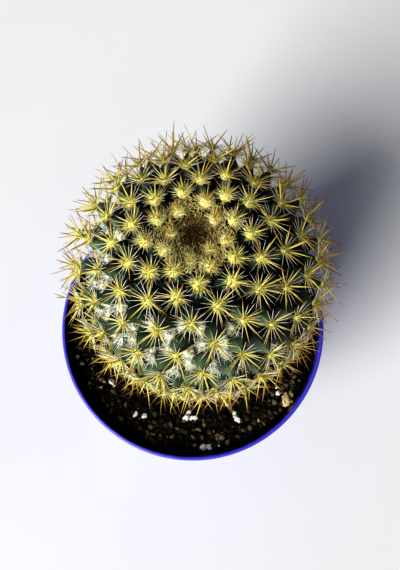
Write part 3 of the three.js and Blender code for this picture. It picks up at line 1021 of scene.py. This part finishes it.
pads = {
    "seed": 41, "hairs": 100, "length": (0.5, 0.85), "width": 0.1 * mm, "bend": 0.3 * mm,
    "radius": 1.4 * mm, "widest": 2.7 * mm, "widestAt": 0.32, "wideSpread": 0.33,
    "fresh": (0.95, 0.05), "freshEdge": (0.14, 0.28),
    "core": 0.7, "tilt": (8, 74), "reach": 0.8, "dome": 0.4, "domeFall": 1.8,
    "shape": {"Sides": 3, "Segments": 2, "Taper": 0.5, "Wave": 0.8 * mm},
    "felt": {"Fineness": 2, "Rough": 0.45, "Rough Scale": 1500.0}, "feltSunk": 0.25, "feltHeight": 0.8,
    # the old and the young colour, and the youths between which one turns to the other
    "colours": ((0.84, 0.78, 0.3), (0.92, 0.86, 0.44)), "edge": (0.4, 0.9),
}

crown = {"sunk": 1.1 * mm, "spread": 0.3, "bend": 0.4 * mm, "ageing": 0.75}

crownTuft = {
    "seed": 42, "hairs": 2600, "radii": (0.0, 5.4 * mm), "length": (1.4 * mm, 2.6 * mm),
    "width": 0.07 * mm, "inward": 0.5, "padRoom": 0.0,
    "shape": {"Sides": 3, "Segments": 3, "Taper": 0.5, "Wave": 1.2 * mm},
    "colours": ((0.27, 0.2, 0.07), (0.08, 0.06, 0.023)), "edge": (0.3, 0.8),
}

bristles = {
    "seed": 44, "hairs": 1700, "radii": (3.6 * mm, 10.8 * mm), "length": (2.0 * mm, 3.8 * mm),
    "width": 0.12 * mm, "inward": 0.6, "padRoom": 2.4 * mm,
    "shape": {"Sides": 4, "Segments": 3, "Taper": 0.6, "Wave": 0.08 * mm},
    "colours": ((0.95, 0.82, 0.4), (0.62, 0.47, 0.19)), "edge": (0.35, 0.8),
}

axils = {
    "seed": 43, "hairs": 80, "length": (1.4 * mm, 3.0 * mm), "width": 0.13 * mm, "bend": 0.6 * mm,
    "disc": 1.6 * mm, "discSpread": 0.6, "out": 0.7, "splay": 0.7, "aimSpread": 0.2,
    # which low points hold wool: how far down the plant, and how far towards the lit left front
    "olderEdge": (0.6, 1.1), "lastAt": 2.1, "litFrom": (0.78, 0.62), "litEdge": (0.05, 0.6),
    "leastChance": 0.06, "amount": (0.6, 1.0), "shift": 1.2 * mm, "sunk": 0.85, "faceLight": 0.6,
    "skinReach": (0.9 * mm, 3.7 * mm), "skinLit": (0.3, 0.6),
    "shape": {"Sides": 3, "Segments": 2, "Taper": 0.5, "Wave": 0.7 * mm},
    "felt": {"Fineness": 3, "Rough": 0.4, "Rough Scale": 900.0}, "feltRadius": 1.2 * mm,
    "feltHeight": 1.1,
    "colours": ((0.96, 0.96, 0.84), (0.9, 0.9, 0.75)), "edge": (0.5, 1.0),
}


# Areoles are widest a little below the crown, where their wool is still fresh.
def padRadiusAt(polar):
    wide = math.exp(-((polar - pads["widestAt"]) / pads["wideSpread"]) ** 2)
    least, more = pads["fresh"]
    fresh = least + more * smoothStep(polar, *pads["freshEdge"])
    return (pads["radius"] + (pads["widest"] - pads["radius"]) * wide) * fresh


def seedPads(draw):
    upright, spread = pads["tilt"]
    for n in grownAreoles:
        radius = padRadiusAt(areolePolar[n])
        for _ in range(pads["hairs"]):
            out = math.sqrt(draw.random())
            azimuth = draw.uniform(0, 2 * math.pi)
            aim = aimFrom(n, math.radians(upright + spread * out), azimuth)
            flat = unit(flattened(aim, tipNormal[n]))
            rise = pads["dome"] * (1 - pads["domeFall"] * out * out)
            place = tipPoint[n] + radius * pads["core"] * (pads["reach"] * out * flat + rise * tipNormal[n])
            size = draw.uniform(*pads["length"]) * radius
            yield (place, aim, draw.normal(0, pads["bend"], 3), size, pads["width"], draw.random(),
                   1 - tipGrown[n])


def seedCushions():
    for n in grownAreoles:
        radius = padRadiusAt(areolePolar[n]) * pads["core"]
        yield (tipPoint[n] - tipNormal[n] * radius * pads["feltSunk"], tipNormal[n], np.zeros(3),
               radius * pads["feltHeight"], radius, 0.0, 1 - tipGrown[n])


def seedCrown(kind):
    draw = np.random.default_rng(kind["seed"])
    inner, outer = kind["radii"]
    for _ in range(kind["hairs"]):
        radius = math.sqrt(inner ** 2 + (outer ** 2 - inner ** 2) * draw.random())
        turn = draw.uniform(0, 2 * math.pi)
        polar = np.array([math.asin(radius / plant["radius"])])
        point, normal = surfaceAt(polar, np.array([turn]))
        point[:, 2] -= dipAt(polar) + crown["sunk"]
        outward = np.array([math.cos(turn), math.sin(turn), 0.0])
        aim = unit(normal[0] - outward * kind["inward"] * radius / outer
                   + draw.normal(0, crown["spread"], 3))
        place = toWorld(point)[0]
        if np.linalg.norm(tipPoint[grownAreoles] - place, axis=1).min() < kind["padRoom"]:
            continue
        yield (place, plantTurn @ aim, plantTurn @ draw.normal(0, crown["bend"], 3),
               draw.uniform(*kind["length"]), kind["width"], draw.random(),
               1.0 - crown["ageing"] * radius / outer)


# The low points between tubercles that hold white wool: older ones, most on the lit side.
def woollyGrooves(draw, lows):
    chosen = []
    left, front = axils["litFrom"]
    least = axils["leastChance"]
    for low in lows.values():
        polar = polarOf(low)
        point, normal = surfaceAt(np.array([polar]), np.array([math.atan2(low[1], low[0])]))
        sunk = tubercleHeight(polar, point[0, 2])
        outward = plantTurn @ normal[0]
        facing = -(left * outward[0] + front * outward[1])
        lit = float(smoothStep(facing, *axils["litEdge"]))
        chance = float(smoothStep(polar, *axils["olderEdge"])) * (least + (1 - least) * lit)
        away = -unit(flattened(toLight, outward))
        place = toWorld(point - normal * sunk * axils["sunk"])[0] + away * axils["shift"]
        face = unit(outward - axils["faceLight"] * away)
        if draw.random() < chance and place[2] > spines["lowest"]:
            amount = draw.uniform(*axils["amount"])
            if polar < axils["lastAt"]:
                chosen.append((place, face, amount))
    return chosen


# Marks the skin that is under wool: the flanks near those low points, kept to those that face the light, so
# the white is painted light as well as wool.
def markWoolAndPaintedLight(mesh, grooves):
    places = readValues(mesh.vertices, "co", 3)
    woolAndPaintedLight = np.zeros(len(places))
    full, none = axils["skinReach"]
    for place, _, amount in grooves:
        near = smoothStep(np.linalg.norm(places - place, axis=1), none, full)
        woolAndPaintedLight = np.maximum(woolAndPaintedLight, near * amount)
    storeValues(mesh, "woolAndPaintedLight", woolAndPaintedLight * smoothStep(facingLight(mesh), *axils["skinLit"]))


def seedAxils(draw, grooves):
    for place, outward, amount in grooves:
        for _ in range(int(axils["hairs"] * amount)):
            start = flattened(draw.normal(0, axils["discSpread"], 3) * axils["disc"], outward)
            aim = unit(axils["out"] * outward + start / axils["disc"] * axils["splay"]
                       + draw.normal(0, axils["aimSpread"], 3))
            size = draw.uniform(*axils["length"])
            if (place + aim * size)[2] < spines["lowest"]:
                continue
            yield (place + start, aim, draw.normal(0, axils["bend"], 3), size, axils["width"],
                   draw.random(), 0.0)


def seedAxilFelt(grooves):
    for place, outward, amount in grooves:
        radius = axils["feltRadius"] * amount
        yield place, outward, np.zeros(3), radius * axils["feltHeight"], radius, 0.0, 0.0


def woolMaterial(name, kind):
    material, tree = newMaterial(name)
    old, young = kind["colours"]
    colour = mixColours(tree, ease(tree, attributeNode(tree, "youth"), *kind["edge"]), old, young)
    toned = mathNode(tree, "MULTIPLY", attributeNode(tree, "tone"), wool["toneShare"])
    spots = (mottle(tree, *wool["spots"]), "Mask")
    shade = mathNode(tree, "MULTIPLY_ADD", spots, wool["spotShare"], toned)
    darkest = tuple(wool["darkest"] * part for part in young)
    return finishMaterial(material, mixColours(tree, shade, colour, darkest), wool)


def makeWool(lows, skin):
    cushion = woolMaterial("areoleWool", pads)
    growPiece("areoleWoolPads", seedPads(np.random.default_rng(pads["seed"])), growTree,
              pads["shape"], cushion)
    growPiece("areoleFelt", seedCushions(), cushionTree, pads["felt"], cushion)
    growPiece("crownWoolTuft", seedCrown(crownTuft), growTree, crownTuft["shape"],
              woolMaterial("crownWool", crownTuft))
    growPiece("crownBristles", seedCrown(bristles), growTree, bristles["shape"],
              woolMaterial("crownBristle", bristles))
    draw = np.random.default_rng(axils["seed"])
    grooves = woollyGrooves(draw, lows)
    markWoolAndPaintedLight(skin.data, grooves)
    white = woolMaterial("axilWool", axils)
    growPiece("axilWoolTufts", seedAxils(draw, grooves), growTree, axils["shape"], white)
    growPiece("axilFelt", seedAxilFelt(grooves), cushionTree, axils["felt"], white)


# Soil: a dark peaty bed with grains, white perlite and tan grit lying on it

soil = {
    "top": 72 * mm, "edge": 42.2 * mm, "rings": 70, "segments": 240, "relief": 0.9 * mm,
    "wallGap": 0.4 * mm, "floorGap": 0.3 * mm, "seed": 51, "unevenness": 0.14 * mm,
    # colours, and mottles by their scale, low and high
    "dark": (0.006, 0.0047, 0.0034), "brown": (0.03, 0.022, 0.013), "crumbs": (700.0, 0.45, 0.75),
    "specks": (2600.0, 0.5, 0.8), "speckShare": 0.35,
    "roughness": 0.9, "shine": 0.12, "bump": (1800.0, 0.7, 0.4 * mm),
}

grains = {
    "seed": 52, "count": 6500, "size": (0.3 * mm, 1.35 * mm), "fineness": 2.6, "reach": 0.985,
    "smallest": 0.2 * mm, "raised": 0.25,
    # no grain lies inside the plant's foot
    "footDepth": plant["baseDepth"] + 3 * mm, "footRadius": 17.5 * mm,
    # painted light: the crumbs near the wall are toned paler, against the shadow that the pot's wall casts
    # on the soil
    "wallLightEdge": (31 * mm, 41 * mm), "wallLightTone": 0.2,
    "shape": {"Fineness": 1, "Rough": 0.9, "Rough Scale": 1400.0},
    "tones": [(0.0, soil["dark"]), (0.4, soil["dark"]), (0.7, soil["brown"]),
              (0.92, (0.065, 0.05, 0.027)), (1.0, (0.17, 0.13, 0.075))],
}

stone = {
    "raised": 0.32, "shape": {"Fineness": 4, "Rough": 1.2, "Rough Scale": 560.0},
    "pits": (1700.0, 0.52, 0.7), "pitShare": 0.3, "roughness": 0.8, "bump": (2200.0, 0.8, 0.3 * mm),
}

# places are across, along and size in mm, as they lie in front of the plant
perliteLumps = {
    "seed": 4, "light": (0.76, 0.74, 0.69), "dark": (0.42, 0.36, 0.28),
    "places": [
        (-19.5, -29.6, 1.2), (-16.6, -30.4, 1.35), (-2.2, -30.9, 1.4), (-0.9, -29.1, 1.2),
        (0.3, -31.0, 1.4), (11.6, -26.5, 1.1), (14.3, -29.4, 0.9), (15.1, -31.2, 1.2),
        (16.1, -32.4, 0.6), (3.5, -40.9, 1.25), (5.6, -40.7, 1.35), (9.0, -40.4, 0.7),
        (29.5, -22.6, 1.0), (28.9, -20.6, 0.65), (-40.4, -10.1, 0.8), (-38.8, -12.7, 1.0),
        (-27.8, -18.8, 1.4),
    ],
}

tanGravel = {
    "seed": 9, "light": (0.6, 0.49, 0.25), "dark": (0.3, 0.2, 0.09),
    "places": [
        (32.0, -24.9, 2.2), (33.6, -23.0, 1.5), (33.4, -25.2, 1.2), (-30.7, -18.7, 0.63),
        (-31.7, -20.7, 0.79), (-26.7, -31.2, 0.57), (-36.0, -19.2, 0.83), (-27.0, -19.9, 0.8),
        (-13.2, -36.5, 0.6), (22.6, -31.8, 0.6),
    ],
}

oliveGravel = {
    "seed": 6, "light": (0.13, 0.1, 0.045), "dark": (0.05, 0.036, 0.015),
    "places": [
        (-22.9, -26.3, 0.83), (-15.4, -35.7, 0.89), (-29.2, -26.9, 1.08), (-28.4, -29.2, 0.95),
        (-10.9, -37.0, 0.83), (-13.0, -39.2, 0.9), (35.2, -17.0, 0.83), (36.9, -18.2, 0.63),
        (28.1, -25.6, 1.27), (2.0, -35.2, 1.0), (8.5, -36.8, 0.9), (19.5, -34.0, 1.1),
        (-5.2, -34.6, 0.8),
    ],
}


# A few crossing waves of different lengths.
def soilHeight(x, y):
    wave = (np.sin(310 * x + 1.3) * np.cos(270 * y + 0.4) + 0.6 * np.sin(690 * x - 520 * y)
            + 0.5 * np.cos(830 * y + 410 * x + 2.0))
    return soil["top"] + soil["relief"] * 0.3 * wave


def makeSoil():
    wallGap, floorGap = soil["wallGap"], soil["floorGap"]
    footInside = pot["foot"] - pot["wall"]
    side = [(wallTop + pot["step"] - pot["wall"] - wallGap, collarFoot + 1.2 * mm),
            (wallTop - pot["wall"] - wallGap, collarFoot - 0.1 * mm),
            (footInside, floorTop + 1.2 * mm),
            (footInside - 1.1 * mm, floorTop + floorGap), (0.0, floorTop + floorGap)]
    top = [(soil["edge"] * (i / soil["rings"]), soil["top"]) for i in range(soil["rings"] + 1)]
    points, faces = turnProfile(list(reversed(side)) + list(reversed(top)), soil["segments"])
    points = np.array(points)
    onTop = points[:, 2] > soil["top"] - 0.01 * mm
    points[onTop, 2] = soilHeight(points[onTop, 0], points[onTop, 1])
    draw = np.random.default_rng(soil["seed"])
    points[onTop, 2] += draw.normal(0, soil["unevenness"], onTop.sum())
    mesh = meshFromArrays("soilBed", points, faces)
    bed = newPiece("soilBed", mesh, soilMaterial("pottingMix", False))
    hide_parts("soil")


# Each crumb has its own colour by its tone, and the bed is mottled.
def soilMaterial(name, perGrain):
    material, tree = newMaterial(name)
    if perGrain:
        colour = ramp(tree, attributeNode(tree, "tone"), grains["tones"])
    else:
        crumbs = (mottle(tree, *soil["crumbs"]), "Mask")
        colour = mixColours(tree, crumbs, soil["dark"], soil["brown"])
    colour = tinge(tree, colour, soil["brown"], mottle(tree, *soil["specks"]), soil["speckShare"])
    return finishMaterial(material, colour, soil)


def strewPiece(name, places, sizes, tones, values, finish):
    growPiece(name, zip(places, sizes, tones), grainTree, values, finish,
              ("size", "tone"))


def makeGrains():
    draw = np.random.default_rng(grains["seed"])
    radius = soil["edge"] * np.sqrt(draw.random(grains["count"])) * grains["reach"]
    turn = draw.uniform(0, 2 * math.pi, grains["count"])
    x, y = radius * np.cos(turn), radius * np.sin(turn)
    foot = plantPlace @ Vector((0, 0, -grains["footDepth"]))
    keep = np.hypot(x - foot.x, y - foot.y) >= grains["footRadius"]
    x, y = x[keep], y[keep]
    fromAxis = np.hypot(x, y)
    low, high = grains["size"]
    sizes = low + (high - low) * draw.random(len(x)) ** grains["fineness"]
    sizes = np.minimum(sizes, np.maximum(soil["edge"] - fromAxis, grains["smallest"]))
    z = soilHeight(x, y) + grains["raised"] * sizes
    wallLight = smoothStep(fromAxis, *grains["wallLightEdge"]) * grains["wallLightTone"]
    strewPiece("soilGrains", np.stack([x, y, z], axis=1), sizes, draw.random(len(x)) + wallLight,
               grains["shape"], soilMaterial("soilCrumb", True))


def stoneMaterial(name, kind):
    material, tree = newMaterial(name)
    colour = tinge(tree, kind["light"], kind["dark"], mottle(tree, *stone["pits"]), stone["pitShare"])
    return finishMaterial(material, colour, stone)


def makeStones():
    for name, kind, finish in (("perliteLumps", perliteLumps, "whitePerlite"),
                               ("tanGravel", tanGravel, "tanGrit"),
                               ("oliveGravel", oliveGravel, "oliveGrit")):
        x, y, size = (np.array(column) * mm for column in zip(*kind["places"]))
        place = np.stack([x, y, soilHeight(x, y) + stone["raised"] * size], axis=1)
        strewPiece(name, place, size, np.zeros(len(size)), {**stone["shape"], "Seed": kind["seed"]},
                   stoneMaterial(finish, kind))


makeCamera()
makeStudio()
makeFloor()
print("stage ready")
makePot()
print("pot ready")
cactusBody, groovePoints = makeBody()
print("body ready", len(cactusBody.data.polygons), "faces,", areoleCount, "areoles")
makeSpines()
makeWool(groovePoints, cactusBody)
print("spines and wool ready")
makeSoil()
makeGrains()
makeStones()
print("soil ready")
